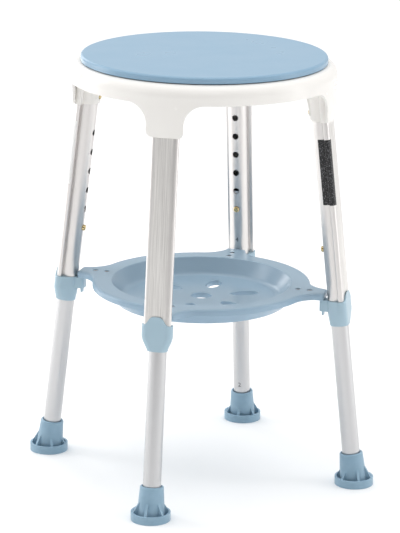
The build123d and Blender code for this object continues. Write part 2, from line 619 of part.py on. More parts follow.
def build_collar(corner, angle):
    """The guide at the foot of the upper leg: a barrel that narrows onto the tube, with a tongue
    up its front and a loop for the tray's prong on its inner side."""
    wall = COLLAR_WALL + SEAT_FIT
    depth = 2 * (LEG_FRONT + wall)
    half = (LEG_WIDTH + COLLAR_BULGE) / 2 + wall
    neck = LEG_BORE + COLLAR_NECK_WALL
    height = COLLAR_SIDE_TOP - COLLAR_FOOT
    slot_depth = PRONG_DEPTH + 2 * LOOP_FIT
    loop_outer = PRONG_MIDDLE - slot_depth / 2 - LOOP_WALL
    loop_width = PRONG_WIDTH + 2 * (LOOP_FIT + LOOP_WALL)
    leg_here = FLOOR_RADIUS - SLOPE * LOOP_TOP
    with BuildPart() as collar:
        for share in (0.0, 0.33, 0.67, 1.0):
            swell = sin(radians(90 * share)) ** COLLAR_SWELL
            with BuildSketch(leg_plane(angle, COLLAR_FOOT + share * COLLAR_BELOW_LEG)):
                collar_outline(neck + swell * (LEG_FRONT + wall - neck), neck + swell * (half - neck),
                               neck + swell * (LEG_BACK + wall - neck),
                               0.7 * neck + swell * (COLLAR_ROUND - 0.7 * neck))
        loft()
        with BuildSketch(leg_plane(angle, UPPER_LEG_FOOT)):
            collar_outline(LEG_FRONT + wall, half, LEG_BACK + wall, COLLAR_ROUND)
        extrude(amount=COLLAR_ABOVE_LEG + TONGUE_HEIGHT)
        # the top is level behind, and rises as a tongue up the front
        across = leg_plane(angle, COLLAR_SIDE_TOP)
        front = Plane(origin=across.origin, x_dir=across.y_dir, z_dir=across.x_dir)
        half_top = TONGUE_TOP / 2
        half_foot = LEG_WIDTH / 2
        with BuildSketch(front):
            with BuildLine():
                Polyline((-2 * half, 0), (-half_foot, 0))
                Spline((-half_foot, 0), (-half_top, TONGUE_HEIGHT), tangents=((1, 0), (1, 0)))
                Polyline((-half_top, TONGUE_HEIGHT), (half_top, TONGUE_HEIGHT))
                Spline((half_top, TONGUE_HEIGHT), (half_foot, 0), tangents=((1, 0), (1, 0)))
                Polyline((half_foot, 0), (2 * half, 0), (2 * half, 2 * TONGUE_HEIGHT),
                         (-2 * half, 2 * TONGUE_HEIGHT), (-2 * half, 0))
            make_face()
        extrude(amount=depth, mode=Mode.SUBTRACT)
        side = Plane(origin=across.origin, x_dir=across.x_dir, z_dir=across.x_dir.cross(across.z_dir))
        rise_from = LEG_FRONT - PLATE_DEPTH
        rise_to = LEG_FRONT + wall
        with BuildSketch(side):
            with BuildLine():
                Polyline((-depth, 0), (rise_from, 0))
                Spline((rise_from, 0), (rise_to, TONGUE_HEIGHT), tangents=((1, 0), (0.4, 1)))
                Polyline((rise_to, TONGUE_HEIGHT), (rise_to, 2 * TONGUE_HEIGHT),
                         (-depth, 2 * TONGUE_HEIGHT), (-depth, 0))
            make_face()
        extrude(amount=2 * half, both=True, mode=Mode.SUBTRACT)
        # loop for the prong
        with BuildSketch(flat_plane(angle, 0, LOOP_TOP - LOOP_HEIGHT)):
            with Locations(((loop_outer + leg_here - LEG_BACK / 2) / 2, 0)):
                RectangleRounded(leg_here - LEG_BACK / 2 - loop_outer, loop_width, LOOP_ROUND)
        extrude(amount=LOOP_HEIGHT)
        # room for the upper leg, the tube and the prong
        with BuildSketch(leg_plane(angle, UPPER_LEG_FOOT)):
            leg_outline()
            offset(amount=SEAT_FIT)
        extrude(amount=COLLAR_SIDE_TOP + 3 * TONGUE_HEIGHT - UPPER_LEG_FOOT, mode=Mode.SUBTRACT)
        with BuildSketch(leg_plane(angle, COLLAR_FOOT - EXTRA)):
            Circle(LEG_BORE)
        extrude(amount=2 * height, mode=Mode.SUBTRACT)
        with BuildSketch(flat_plane(angle, PRONG_MIDDLE, LOOP_TOP - 2 * LOOP_HEIGHT)):
            Rectangle(slot_depth, PRONG_WIDTH + 2 * LOOP_FIT)
        extrude(amount=3 * LOOP_HEIGHT, mode=Mode.SUBTRACT)
    return finish(collar.part, f"{corner}_leg_collar")


# ---------------------------------------------------------------- tray
def tray_outline():
    """Plan of the tray's rim: a disc with four arms, blended by large hollow curves."""
    with BuildSketch(mode=Mode.PRIVATE) as plan:
        Circle(TRAY_RADIUS)
        with PolarLocations((ARM_TIP + ARM_BLEND) / 2, len(CORNERS), start_angle=45):
            Rectangle(ARM_TIP + ARM_BLEND, ARM_WIDTH)
        inside = [v for v in plan.vertices() if abs(Vector(*v).length - TRAY_RADIUS) < EXTRA]
        fillet(inside, radius=ARM_BLEND)
        with PolarLocations(ARM_TIP + ARM_BLEND, len(CORNERS), start_angle=45):
            Rectangle(2 * ARM_BLEND, 2 * ARM_BLEND, mode=Mode.SUBTRACT)
    return plan.sketch


def build_tray():
    """The tray: a rim with a turned-down edge, four arms and a deep dish with drain holes."""
    outline = tray_outline()
    with BuildPart() as tray:
        with BuildSketch(Plane.XY.offset(TRAY_EDGE_FOOT)):
            add(outline)
        extrude(amount=TRAY_EDGE)
        tips = [e for e in tray.edges().filter_by(Axis.Z)
                if Vector((e @ 0.5).X, (e @ 0.5).Y).length > ARM_TIP - EXTRA]
        fillet(tips, radius=ARM_TIP_ROUND)
        fillet(tray.faces().sort_by(Axis.Z)[-1].edges(), radius=TRAY_ROUND)
        fillet(tray.faces().sort_by(Axis.Z)[0].edges(), radius=TRAY_EDGE_ROUND)
        with BuildSketch(Plane.XY.offset(TRAY_EDGE_FOOT)):
            add(outline)
            offset(amount=-TRAY_WALL)
            with BuildSketch(mode=Mode.PRIVATE) as within:
                Circle(ARM_HOLLOW_END)
            add(within.sketch, mode=Mode.INTERSECT)
        extrude(amount=TRAY_EDGE - TRAY_PLATE, mode=Mode.SUBTRACT)
        with BuildSketch(Plane.XY.offset(TRAY_EDGE_FOOT)):
            Circle((DISH_OPENING + BOWL_RADIUS) / 2)
        extrude(amount=TRAY_EDGE, mode=Mode.SUBTRACT)
        foot = DISH_FLOOR_UNDER - BOWL_FOOT
        with BuildSketch(Plane.XZ) as dish:
            with BuildLine():
                Polyline((0, DISH_FLOOR_TOP), (DISH_FLOOR_RADIUS, DISH_FLOOR_TOP),
                         (DISH_OPENING, TRAY_TOP), (BOWL_RADIUS, TRAY_TOP), (BOWL_RADIUS, TRAY_EDGE_FOOT),
                         (BOWL_FOOT_RADIUS, foot), (BOWL_FOOT_RADIUS - TRAY_WALL, foot),
                         (BOWL_FOOT_RADIUS - TRAY_WALL, DISH_FLOOR_UNDER), (0, DISH_FLOOR_UNDER),
                         (0, DISH_FLOOR_TOP))
            make_face()
            fillet(dish.vertices().sort_by_distance((DISH_FLOOR_RADIUS, DISH_FLOOR_TOP))[0],
                   radius=4 * TRAY_WALL)
            fillet(dish.vertices().sort_by_distance((DISH_OPENING, TRAY_TOP))[0], radius=TRAY_WALL)
        revolve(axis=Axis.Z)
        with BuildSketch(Plane.XY.offset(DISH_FLOOR_UNDER - DRAIN_LIP)):
            Circle(DRAIN_RADIUS + DRAIN_LIP_WALL)
            with PolarLocations(PETAL_CIRCLE, PETAL_COUNT, start_angle=45):
                Ellipse(PETAL_LENGTH / 2 + DRAIN_LIP_WALL, PETAL_WIDTH / 2 + DRAIN_LIP_WALL)
        extrude(amount=DRAIN_LIP + DISH_FLOOR / 2)
        with BuildSketch(Plane.XY.offset(DISH_FLOOR_UNDER - DRAIN_LIP - EXTRA)):
            Circle(DRAIN_RADIUS)
            with PolarLocations(PETAL_CIRCLE, PETAL_COUNT, start_angle=45):
                Ellipse(PETAL_LENGTH / 2, PETAL_WIDTH / 2)
        extrude(amount=DRAIN_LIP + DISH_FLOOR + 2 * EXTRA, mode=Mode.SUBTRACT)
        floor = tray.faces().filter_by(Plane.XY).sort_by_distance((BOLT_RADIUS + PETAL_CIRCLE / 2, 0,
                                                                   DISH_FLOOR_TOP))[0]
        fillet([e for wire in floor.inner_wires() for e in wire.edges()], radius=DRAIN_ROUND)
        for angle in CORNERS.values():
            for radius in SCREW_RADII:
                with BuildSketch(flat_plane(angle, radius, TRAY_TOP - SCREW_RECESS)):
                    Circle(SCREW_HEAD_RADIUS + SEAT_FIT)
                extrude(amount=SCREW_RECESS, mode=Mode.SUBTRACT)
                with BuildSketch(flat_plane(angle, radius, TRAY_UNDER)):
                    Circle(SCREW_RADIUS + SEAT_FIT)
                extrude(amount=TRAY_PLATE, mode=Mode.SUBTRACT)
    return finish(tray.part, "tray")


def build_hook(corner, angle):
    """The prong under an arm: a plate screwed up into the arm, a shoulder and a tapered tongue."""
    start = BOWL_RADIUS + SEAT_FIT
    turn = sqrt(ARM_HOLLOW_END**2 - (HOOK_WIDTH / 2) ** 2) - SEAT_FIT
    plate_foot = TRAY_UNDER - HOOK_PLATE
    tip = LOOP_TOP - PRONG_LENGTH
    with BuildPart() as hook:
        with BuildSketch(radial_plane(angle)):
            with BuildLine():
                Polyline((start, TRAY_UNDER), (turn, TRAY_UNDER), (turn, TRAY_EDGE_FOOT),
                         (PRONG_OUTER, TRAY_EDGE_FOOT), (PRONG_OUTER, LOOP_TOP),
                         (turn - HOOK_PLATE, LOOP_TOP), (turn - HOOK_PLATE, plate_foot),
                         (start, plate_foot), close=True)
            make_face()
        extrude(amount=HOOK_WIDTH / 2, both=True)
        prong = flat_plane(angle, PRONG_MIDDLE, LOOP_TOP)
        with BuildSketch(prong):
            Rectangle(PRONG_DEPTH, PRONG_WIDTH)
        with BuildSketch(prong.offset(tip - LOOP_TOP)):
            Rectangle(PRONG_DEPTH - PRONG_TAPER, PRONG_WIDTH - 3 * PRONG_TAPER)
        loft()
        for radius in SCREW_RADII:
            with BuildSketch(flat_plane(angle, radius, plate_foot)):
                Circle(SCREW_RADIUS + SEAT_FIT)
            extrude(amount=HOOK_PLATE, mode=Mode.SUBTRACT)
    return finish(hook.part, f"{corner}_tray_hook")


def build_tray_screws():
    """The screws that hold the hooks under the arms, as one group, with crossed recesses."""
    head_foot = TRAY_TOP - SCREW_RECESS
    cross = SCREW_HEAD_RADIUS * 1.2
    with BuildPart() as screws:
        for angle in CORNERS.values():
            for radius in SCREW_RADII:
                with BuildSketch(flat_plane(angle, radius, head_foot)):
                    Circle(SCREW_HEAD_RADIUS)
                extrude(amount=SCREW_HEAD)
                with BuildSketch(flat_plane(angle, radius, head_foot - SCREW_LENGTH + SCREW_HEAD)):
                    Circle(SCREW_RADIUS)
                extrude(amount=SCREW_LENGTH - SCREW_HEAD)
                with BuildSketch(flat_plane(angle, radius, head_foot + SCREW_HEAD / 2)):
                    Rectangle(cross, SCREW_RADIUS / 2)
                    Rectangle(SCREW_RADIUS / 2, cross)
                extrude(amount=SCREW_HEAD / 2, mode=Mode.SUBTRACT)
    return finish(screws.part, "tray_screws")


# ---------------------------------------------------------------- feet
def build_foot(corner, angle):
    """The rubber foot: a level flange with a raised rim, and a ribbed cone that leans with the leg."""
    taper = degrees(atan((FOOT_BASE_RADIUS - FOOT_TOP_RADIUS) / FOOT_HEIGHT))
    start = -FOOT_BASE_RADIUS * SLOPE
    with BuildPart() as foot:
        with BuildSketch(leg_plane(angle, start)):
            Circle(FOOT_BASE_RADIUS)
        extrude(amount=FOOT_HEIGHT - start, taper=taper)
        fillet(foot.faces().sort_by(Axis.Z)[-1].edges(), radius=FOOT_TOP_ROUND)
        split(bisect_by=Plane.XY, keep=Keep.TOP)
        with BuildSketch(flat_plane(angle, FLOOR_RADIUS, 0)):
            Circle(FOOT_RADIUS)
        extrude(amount=FOOT_FLANGE)
        with BuildSketch(flat_plane(angle, FLOOR_RADIUS, 0)):
            Circle(FOOT_RADIUS)
            Circle(FOOT_RADIUS - FOOT_RIM_WALL, mode=Mode.SUBTRACT)
        extrude(amount=FOOT_RIM_HEIGHT)
        rib_end = FOOT_RADIUS - FOOT_RIM_WALL / 2
        for number in range(FOOT_RIB_COUNT):
            turned = flat_plane(angle, FLOOR_RADIUS, 0).rotated((0, 0, number * 360 / FOOT_RIB_COUNT))
            with BuildSketch(Plane(origin=turned.origin, x_dir=turned.x_dir, z_dir=-turned.y_dir)):
                with BuildLine():
                    Polyline((TUBE_RADIUS + FOOT_RIM_WALL, 0), (rib_end, 0), (rib_end, FOOT_RIB_FOOT),
                             (TUBE_RADIUS + FOOT_RIM_WALL, FOOT_RIB_HEIGHT), close=True)
                make_face()
            extrude(amount=FOOT_RIB_THICKNESS / 2, both=True)
        with BuildSketch(leg_plane(angle, FOOT_SOLE)):
            Circle(TUBE_RADIUS + SEAT_FIT)
        extrude(amount=FOOT_HEIGHT, mode=Mode.SUBTRACT)
        with BuildSketch(leg_plane(angle, FOOT_HEIGHT)):
            Circle(TUBE_RADIUS + SEAT_FIT + FOOT_MOUTH)
        extrude(amount=-2 * FOOT_MOUTH, taper=degrees(atan(0.5)), mode=Mode.SUBTRACT)
        for number in range(TREAD_RINGS):
            inner = TREAD_FIRST + number * TREAD_PITCH
            with BuildSketch(flat_plane(angle, FLOOR_RADIUS, 0)):
                Circle(inner + TREAD_WIDTH)
                Circle(inner, mode=Mode.SUBTRACT)
            extrude(amount=TREAD_DEPTH, mode=Mode.SUBTRACT)
    with BuildPart() as washer:
        with BuildSketch(leg_plane(angle, FOOT_SOLE)):
            Circle(TUBE_RADIUS)
            Circle(TUBE_RADIUS / 2, mode=Mode.SUBTRACT)
        extrude(amount=FOOT_WASHER)
    finish(foot.part, f"{corner}_foot")
    finish(washer.part, f"{corner}_foot_washer")


# ---------------------------------------------------------------- labels
def build_label(name, angle, side, back):
    """A plain sticker wrapped round one side and front corner of an upper leg."""
    depth = LEG_FRONT + EXTRA - back
    width = LEG_WIDTH / 2 + EXTRA - (LEG_WIDTH / 2 - LABEL_WRAP)
    with BuildPart() as label:
        with BuildSketch(leg_plane(angle, LOCK_LOWEST + LABEL_FOOT)):
            leg_outline()
            offset(amount=LABEL_THICKNESS)
            with BuildSketch(mode=Mode.PRIVATE) as bare:
                leg_outline()
            add(bare.sketch, mode=Mode.SUBTRACT)
            with BuildSketch(mode=Mode.PRIVATE) as patch:
                with Locations((back + depth / 2, side * (LEG_WIDTH / 2 + EXTRA - width / 2))):
                    Rectangle(depth, width)
            add(patch.sketch, mode=Mode.INTERSECT)
        extrude(amount=LABEL_LENGTH)
    return finish(label.part, name)


# ---------------------------------------------------------------- the whole stool
build_seat_disc()
build_seat_base()
build_race(LOWER_RACE_FOOT, LOWER_RACE_TOP, "lower_race")
build_race(UPPER_RACE_FOOT, UPPER_RACE_TOP, "upper_race")
build_ball_cage()
build_balls()
build_pivot()
build_tray()
build_tray_screws()
for corner, angle in CORNERS.items():
    build_upper_leg(corner, angle)
    build_lower_leg(corner, angle)
    build_collar(corner, angle)
    build_hook(corner, angle)
    build_foot(corner, angle)
    build_button(f"{corner}_leg_button", angle, LOCK_LOWEST, TUBE_BORE, LEG_BACK + BUTTON_PROUD)
    build_spring(f"{corner}_leg_spring", angle, LOCK_LOWEST, TUBE_BORE)
    build_button(f"{corner}_socket_button", angle, SOCKET_BUTTON, LEG_BORE,
                 BOSS_BACK + SOCKET_BUTTON_PROUD)
    build_spring(f"{corner}_socket_spring", angle, SOCKET_BUTTON, LEG_BORE)
build_label("black_label", CORNERS["front_right"], -1, BLACK_LABEL_BACK)
build_label("white_label", CORNERS["back_left"], 1, WHITE_LABEL_BACK)
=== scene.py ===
# %% [markdown]
# # Shower stool
# A round bath stool: a swivelling blue seat on a white base, four splayed legs whose tubes slide in
# and out, a clip-in blue tray and flared rubber feet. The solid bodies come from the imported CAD
# model. This notebook gives each of them the finish of its real material, adds the small pieces that
# are easier to grow in Blender, and sets up the camera, the floor and the light.

import json
from math import cos, radians, sin

import bmesh
import bpy
from mathutils import Matrix, Vector


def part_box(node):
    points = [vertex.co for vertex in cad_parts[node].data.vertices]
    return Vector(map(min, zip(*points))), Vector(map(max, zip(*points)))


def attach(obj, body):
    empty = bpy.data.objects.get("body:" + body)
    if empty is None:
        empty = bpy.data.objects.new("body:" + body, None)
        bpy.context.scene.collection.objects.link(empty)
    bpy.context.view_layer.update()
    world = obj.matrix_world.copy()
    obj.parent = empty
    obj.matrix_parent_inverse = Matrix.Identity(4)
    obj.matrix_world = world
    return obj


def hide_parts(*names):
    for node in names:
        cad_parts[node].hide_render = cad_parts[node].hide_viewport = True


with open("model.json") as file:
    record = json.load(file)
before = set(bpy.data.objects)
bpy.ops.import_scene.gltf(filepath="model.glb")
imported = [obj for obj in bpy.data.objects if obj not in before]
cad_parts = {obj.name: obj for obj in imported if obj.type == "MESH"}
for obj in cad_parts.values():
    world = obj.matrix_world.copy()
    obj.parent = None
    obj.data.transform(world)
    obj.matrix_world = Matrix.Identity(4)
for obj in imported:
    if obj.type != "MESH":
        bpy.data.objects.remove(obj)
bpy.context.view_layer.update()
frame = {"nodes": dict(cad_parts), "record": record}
nodes = frame["nodes"]
record = frame["record"]
MM = 0.001

# %% [markdown]
# ## Where each leg stands
# Every leg leans in towards the top, so a pattern that runs along a leg needs the leg's own axes.
# The record already holds them: the height joint's axis points up the leg, and the sole's mount says
# where the leg meets the floor. Reading them keeps the finish true if the stool is resized.

# %% Leg axes
CORNERS = ("back_right", "back_left", "front_left", "front_right")
joint_axis = {joint["name"]: Vector(joint["axis"]) for joint in record["behaviour"]["joints"]}
mount_place = {mount["name"]: Vector(mount["pos_m"]) for mount in record["mounts"]}


def leg_axes(corner):
    """A leg's foot point, and the turn whose X points outwards, Y sideways and Z up the leg."""
    up = joint_axis[f"{corner}_height"].normalized()
    foot = mount_place[f"{corner}_sole"].copy()
    outward = Vector((foot.x, foot.y, 0)).normalized()
    sideways = Vector((0, 0, 1)).cross(outward)
    front = sideways.cross(up)
    return foot, Matrix((front, sideways, up)).transposed()


for corner in CORNERS:
    foot, turn = leg_axes(corner)
    print(corner, "stands at", [round(v, 4) for v in foot], "leans", round(turn.col[2].z, 4))

# %% [markdown]
# ## Colours and nodes
# Colour pickers give sRGB hex values, but shaders work with linear light, so one function turns one
# into the other. A second small function adds a node, sets it up and links it in one go, which keeps
# each material readable as a list of what it is made of.

# %% Helpers for materials
def paint(code):
    """A hex colour as the linear RGBA that shaders work with."""
    values = [int(code[i:i + 2], 16) / 255 for i in (1, 3, 5)]
    return (*[v / 12.92 if v <= 0.04045 else ((v + 0.055) / 1.055) ** 2.4 for v in values], 1.0)


def put(tree, kind, inputs=None, **settings):
    """Add a node: settings are its properties, and inputs holds values or the sockets to link."""
    node = tree.nodes.new(kind)
    for key, value in settings.items():
        setattr(node, key, value)
    for key, value in (inputs or {}).items():
        if isinstance(value, bpy.types.NodeSocket):
            tree.links.new(value, node.inputs[key])
        else:
            node.inputs[key].default_value = value
    return node


def new_material(name):
    """An empty material, its node tree and its output."""
    material = bpy.data.materials.new(name)
    material.use_nodes = True
    material.node_tree.nodes.clear()
    return material, material.node_tree, put(material.node_tree, "ShaderNodeOutputMaterial")


def dress(names, material):
    """Give CAD nodes their finish."""
    for name in names:
        nodes[name].data.materials.clear()
        nodes[name].data.materials.append(material)
    print(material.name, "on", len(names), "piece(s)")


# %% [markdown]
# ## Moulded plastic
# The seat, the tray and the collars are injection-moulded polypropylene. The steel mould is spark
# eroded, which leaves a very fine pebble on the part, so a highlight is soft at its edge and never
# mirror sharp. The melt also cools at different speeds, and that shows as a faint, wide change of
# tone. Two noise textures in real sizes give both: a 0.5 mm pebble for the bump and a 60 mm cloud for
# tone and gloss. The pebble is drawn nearly three times as coarse, so that it still shows from a few
# metres away. A texture picture would need an unwrapped surface; noise in space doesn't.

# %% Moulded plastic
PEBBLE = 1.4 * MM
CLOUD = 60 * MM


def moulded_plastic(name, light, dark, gloss, pebble_depth, pebble=PEBBLE):
    """Injection-moulded plastic; light and dark are its two tones, gloss its roughest and finest."""
    material, tree, output = new_material(name)
    place = put(tree, "ShaderNodeTexCoord").outputs["Object"]
    cloud = put(tree, "ShaderNodeTexNoise", {"Vector": place, "Scale": 1 / CLOUD, "Detail": 3.0})
    tone = put(tree, "ShaderNodeMix", {"Factor": cloud.outputs["Fac"]}, data_type="RGBA")
    # sockets 6 and 7 are the colours of a Mix node, 2 is its colour output
    tone.inputs[6].default_value = paint(light)
    tone.inputs[7].default_value = paint(dark)
    rough = put(tree, "ShaderNodeMapRange", {"Value": cloud.outputs["Fac"], "From Min": 0.3,
                                             "From Max": 0.7, "To Min": gloss[0],
                                             "To Max": gloss[1]})
    grain = put(tree, "ShaderNodeTexNoise", {"Vector": place, "Scale": 1 / pebble, "Detail": 2.0})
    bump = put(tree, "ShaderNodeBump", {"Height": grain.outputs["Fac"], "Strength": 1.0,
                                        "Distance": pebble_depth})
    shader = put(tree, "ShaderNodeBsdfPrincipled", {"Base Color": tone.outputs[2],
                                                    "Roughness": rough.outputs["Result"],
                                                    "Normal": bump.outputs["Normal"],
                                                    "IOR": 1.49})
    tree.links.new(shader.outputs["BSDF"], output.inputs["Surface"])
    return material


seat_plastic = moulded_plastic("moulded_polypropylene_seat", "#8DAFC8", "#89ACC5", (0.27, 0.33),
                               0.006 * MM)
tray_plastic = moulded_plastic("moulded_polypropylene_tray", "#98B2C6", "#94AFC3", (0.22, 0.27),
                               0.004 * MM)
collar_plastic = moulded_plastic("moulded_polypropylene_collar", "#A9C3D1", "#A4BFCE",
                                 (0.22, 0.27), 0.004 * MM)
dress(["seat_disc"], seat_plastic)
dress(["tray"], tray_plastic)
dress([f"{corner}_{piece}" for corner in CORNERS for piece in ("leg_collar", "tray_hook")],
      collar_plastic)

# %% [markdown]
# The seat's base is a different plastic: white ABS from a polished mould, so it has no pebble, only
# the long, shallow waves that moulders call orange peel. They are some 8 mm apart and a hundredth of
# a millimetre deep, just enough to make a reflection swim a little.

# %% White base and bearing parts
WAVE = 8 * MM
white_abs = moulded_plastic("polished_white_abs", "#F7F5F1", "#F3F0EC", (0.22, 0.28), 0.01 * MM,
                            pebble=WAVE)
acetal = moulded_plastic("moulded_acetal", "#DCDAD2", "#D3D1C8", (0.32, 0.40), 0.006 * MM)
dress(["seat_base"], white_abs)
dress(["upper_race", "lower_race", "ball_cage", "pivot_bush"], acetal)

# %% [markdown]
# ## Rubber feet
# The feet are soft thermoplastic rubber. Rubber has no clear highlight: its surface is dull and a
# little powdery at a grazing angle, which a touch of sheen gives. Its grain is coarser than the
# plastic's.

# %% Rubber
RUBBER_GRAIN = 0.9 * MM
SCUFF = 14 * MM
foot_rubber, tree, output = new_material("moulded_soft_rubber")
place = put(tree, "ShaderNodeTexCoord").outputs["Object"]
scuff = put(tree, "ShaderNodeTexNoise", {"Vector": place, "Scale": 1 / SCUFF, "Detail": 4.0})
rubber_tone = put(tree, "ShaderNodeValToRGB", {"Fac": scuff.outputs["Fac"]})
rubber_tone.color_ramp.elements[0].position = 0.35
rubber_tone.color_ramp.elements[0].color = paint("#89A9BE")
rubber_tone.color_ramp.elements[1].position = 0.7
rubber_tone.color_ramp.elements[1].color = paint("#93B2C6")
grain = put(tree, "ShaderNodeTexNoise", {"Vector": place, "Scale": 1 / RUBBER_GRAIN,
                                         "Detail": 3.0})
bump = put(tree, "ShaderNodeBump", {"Height": grain.outputs["Fac"], "Strength": 1.0,
                                    "Distance": 0.03 * MM})
shader = put(tree, "ShaderNodeBsdfPrincipled", {"Base Color": rubber_tone.outputs["Color"],
                                                "Roughness": 0.5, "IOR": 1.5,
                                                "Sheen Weight": 0.15, "Sheen Roughness": 0.5,
                                                "Normal": bump.outputs["Normal"]})
tree.links.new(shader.outputs["BSDF"], output.inputs["Surface"])
dress([f"{corner}_foot" for corner in CORNERS], foot_rubber)

# %% [markdown]
# ## Aluminium legs
# The upper legs are extruded aluminium. Their broad front is brushed lengthways with a belt before
# it is anodised, so it has dull grey streaks along the leg, while the rounded corners beside it keep
# the extrusion's bright skin. The tubes are drawn and satin anodised, with faint drawing lines. Both
# finishes follow the leaning leg, so each leg's material turns the object's coordinates into the
# leg's own with a Mapping node. Belt scratches are finer than a tenth of a millimetre; here they are
# drawn about ten times coarser, so that they still show from a few metres away.

# %% Aluminium
SCRATCH_WIDTH = 0.9 * MM
SCRATCH_LENGTH = 90 * MM
BRUSHED_HALF = 11.2 * MM
FRONT_AT = 6.5 * MM  # brushed only ahead of this distance from the leg's axis
SKIN_BLEND = 0.7 * MM
DRAWING_WIDTH = 0.6 * MM
DRAWING_LENGTH = 140 * MM


def along_leg(tree, corner, across, along):
    """Coordinates in a leg's own axes, in lines of that width and length, and plain metres."""
    foot, turn = leg_axes(corner)
    place = put(tree, "ShaderNodeTexCoord").outputs["Object"]
    plain = put(tree, "ShaderNodeMapping", {"Vector": place, "Location": foot,
                                            "Rotation": turn.to_euler()}, vector_type="TEXTURE")
    lines = put(tree, "ShaderNodeMapping", {"Vector": plain.outputs["Vector"],
                                            "Scale": (1 / across, 1 / across, 1 / along)})
    return lines.outputs["Vector"], plain.outputs["Vector"]


def brushed_leg(corner):
    """Extruded upper leg: brushed front plate between bright rounded corners."""
    material, tree, output = new_material(f"brushed_anodised_aluminium_{corner}")
    lines, plain = along_leg(tree, corner, SCRATCH_WIDTH, SCRATCH_LENGTH)
    split = put(tree, "ShaderNodeSeparateXYZ", {"Vector": plain})
    side = put(tree, "ShaderNodeMath", {0: split.outputs["Y"]}, operation="ABSOLUTE")
    near = put(tree, "ShaderNodeMapRange", {"Value": side.outputs[0],
                                            "From Min": BRUSHED_HALF - SKIN_BLEND,
                                            "From Max": BRUSHED_HALF + SKIN_BLEND,
                                            "To Min": 1.0, "To Max": 0.0})
    ahead = put(tree, "ShaderNodeMath", {0: split.outputs["X"], 1: FRONT_AT},
                operation="GREATER_THAN")
    brushed = put(tree, "ShaderNodeMath", {0: near.outputs["Result"], 1: ahead.outputs[0]},
                  operation="MULTIPLY").outputs[0]
    streak = put(tree, "ShaderNodeTexNoise", {"Vector": lines, "Scale": 1.0, "Detail": 5.0,
                                              "Roughness": 0.7}).outputs["Fac"]
    belt_tone = put(tree, "ShaderNodeValToRGB", {"Fac": streak})
    belt_tone.color_ramp.elements[0].position = 0.32
    belt_tone.color_ramp.elements[0].color = paint("#CFCCC9")
    belt_tone.color_ramp.elements[1].position = 0.68
    belt_tone.color_ramp.elements[1].color = paint("#FAF8F5")
    tone = put(tree, "ShaderNodeMix", {"Factor": brushed}, data_type="RGBA")
    tone.inputs[6].default_value = paint("#DCD9D7")
    tree.links.new(belt_tone.outputs["Color"], tone.inputs[7])
    rough = put(tree, "ShaderNodeMapRange", {"Value": brushed, "To Min": 0.34, "To Max": 0.46})
    depth = put(tree, "ShaderNodeMath", {0: streak, 1: brushed}, operation="MULTIPLY")
    bump = put(tree, "ShaderNodeBump", {"Height": depth.outputs[0], "Strength": 1.0,
                                        "Distance": 0.05 * MM})
    shader = put(tree, "ShaderNodeBsdfPrincipled", {"Base Color": tone.outputs[2],
                                                    "Metallic": 1.0,
                                                    "Roughness": rough.outputs["Result"],
                                                    "Normal": bump.outputs["Normal"]})
    tree.links.new(shader.outputs["BSDF"], output.inputs["Surface"])
    return material


def drawn_tube(corner):
    """Drawn tube with a satin anodised skin and faint lines along it."""
    material, tree, output = new_material(f"satin_anodised_tube_{corner}")
    lines, _ = along_leg(tree, corner, DRAWING_WIDTH, DRAWING_LENGTH)
    line = put(tree, "ShaderNodeTexNoise", {"Vector": lines, "Scale": 1.0, "Detail": 3.0})
    rough = put(tree, "ShaderNodeMapRange", {"Value": line.outputs["Fac"], "From Min": 0.3,
                                             "From Max": 0.7, "To Min": 0.27, "To Max": 0.34})
    bump = put(tree, "ShaderNodeBump", {"Height": line.outputs["Fac"], "Strength": 1.0,
                                        "Distance": 0.01 * MM})
    shader = put(tree, "ShaderNodeBsdfPrincipled", {"Base Color": paint("#C9C9CA"),
                                                    "Metallic": 1.0,
                                                    "Roughness": rough.outputs["Result"],
                                                    "Normal": bump.outputs["Normal"]})
    tree.links.new(shader.outputs["BSDF"], output.inputs["Surface"])
    return material


for corner in CORNERS:
    dress([f"{corner}_upper_leg"], brushed_leg(corner))
    dress([f"{corner}_lower_leg"], drawn_tube(corner))

# %% [markdown]
# ## Small metal parts
# The snap buttons are turned brass, the balls, the bolt and the washers are zinc-plated steel, and
# the leaf springs behind the buttons are blued spring steel. One function makes all three, because
# they differ only in colour, roughness and how uneven the surface is.

# %% Small metal parts
def plated_metal(name, light, dark, roughness, patch):
    """A small metal part; patch is the size of its tone changes."""
    material, tree, output = new_material(name)
    place = put(tree, "ShaderNodeTexCoord").outputs["Object"]
    cloud = put(tree, "ShaderNodeTexNoise", {"Vector": place, "Scale": 1 / patch, "Detail": 4.0})
    tone = put(tree, "ShaderNodeValToRGB", {"Fac": cloud.outputs["Fac"]})
    tone.color_ramp.elements[0].position = 0.35
    tone.color_ramp.elements[0].color = paint(dark)
    tone.color_ramp.elements[1].position = 0.65
    tone.color_ramp.elements[1].color = paint(light)
    rough = put(tree, "ShaderNodeMapRange", {"Value": cloud.outputs["Fac"], "From Min": 0.3,
                                             "From Max": 0.7, "To Min": roughness - 0.04,
                                             "To Max": roughness + 0.05})
    shader = put(tree, "ShaderNodeBsdfPrincipled", {"Base Color": tone.outputs["Color"],
                                                    "Metallic": 1.0,
                                                    "Roughness": rough.outputs["Result"]})
    tree.links.new(shader.outputs["BSDF"], output.inputs["Surface"])
    return material


